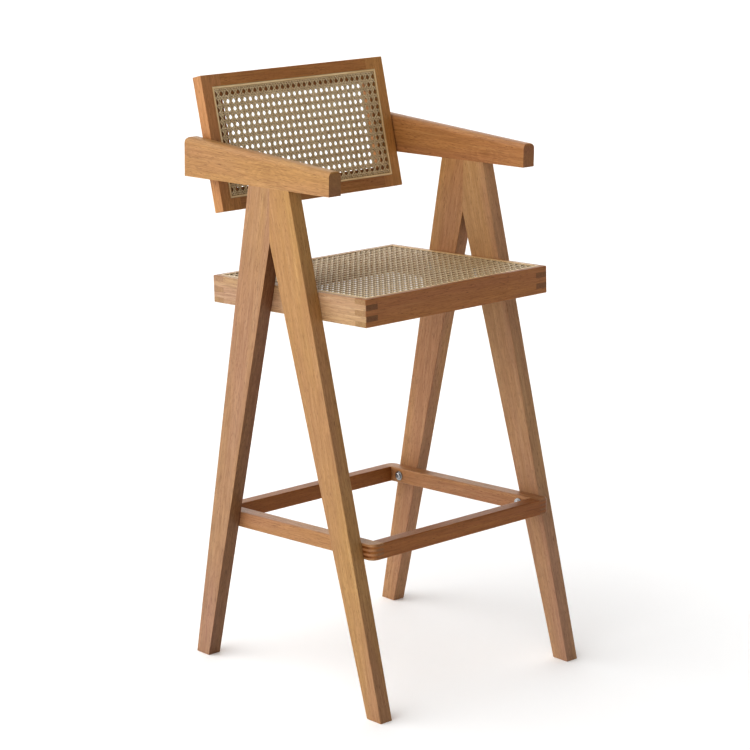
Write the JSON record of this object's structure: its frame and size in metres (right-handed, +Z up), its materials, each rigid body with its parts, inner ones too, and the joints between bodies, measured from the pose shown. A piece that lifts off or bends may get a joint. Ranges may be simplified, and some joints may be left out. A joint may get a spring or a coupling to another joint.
{
  "type": "bar stool",
  "caption": "Wooden bar stool with armrests, a woven cane seat and backrest, and a footrest ring between spread legs.",
  "frame": {"origin": "on the floor, under the middle of the stool's bounding box", "axes": "+Z up, -Y towards the front that the sitter faces, +X to the right as seen from in front"},
  "size_m": [0.51, 0.55, 1.0917],
  "materials": {
    "frame_wood": "satin",
    "cane": "satin",
    "spline_reed": "satin",
    "dowel_wood": "matte",
    "zinc_steel": "satin"
  },
  "bodies": {
    "root": {"arm_dowel_front_left": "dowel_wood", "arm_dowel_front_right": "dowel_wood", "arm_dowel_rear_left": "dowel_wood", "arm_dowel_rear_right": "dowel_wood", "arm_left": "frame_wood", "arm_right": "frame_wood", "back_cane": "cane", "back_dowel_lower_left": "dowel_wood", "back_dowel_lower_right": "dowel_wood", "back_dowel_upper_left": "dowel_wood", "back_dowel_upper_right": "dowel_wood", "back_rail_bottom": "frame_wood", "back_rail_top": "frame_wood", "back_spline_bottom": "spline_reed", "back_spline_left": "spline_reed", "back_spline_right": "spline_reed", "back_spline_top": "spline_reed", "back_stile_left": "frame_wood", "back_stile_right": "frame_wood", "footrest_bolt_front_left": "zinc_steel", "footrest_bolt_front_right": "zinc_steel", "footrest_bolt_rear_left": "zinc_steel", "footrest_bolt_rear_right": "zinc_steel", "footrest_rail_front": "frame_wood", "footrest_rail_left": "frame_wood", "footrest_rail_rear": "frame_wood", "footrest_rail_right": "frame_wood", "footrest_washer_front_left": "zinc_steel", "footrest_washer_front_right": "zinc_steel", "footrest_washer_rear_left": "zinc_steel", "footrest_washer_rear_right": "zinc_steel", "leg_dowel_left": "dowel_wood", "leg_dowel_right": "dowel_wood", "leg_front_left": "frame_wood", "leg_front_right": "frame_wood", "leg_rear_left": "frame_wood", "leg_rear_right": "frame_wood", "seat_bolt_front_left": "zinc_steel", "seat_bolt_front_right": "zinc_steel", "seat_bolt_rear_left": "zinc_steel", "seat_bolt_rear_right": "zinc_steel", "seat_cane": "cane", "seat_rail_front": "frame_wood", "seat_rail_left": "frame_wood", "seat_rail_rear": "frame_wood", "seat_rail_right": "frame_wood", "seat_spline_front": "spline_reed", "seat_spline_left": "spline_reed", "seat_spline_rear": "spline_reed", "seat_spline_right": "spline_reed", "seat_washer_front_left": "zinc_steel", "seat_washer_front_right": "zinc_steel", "seat_washer_rear_left": "zinc_steel", "seat_washer_rear_right": "zinc_steel"}
  },
  "joints": []
}
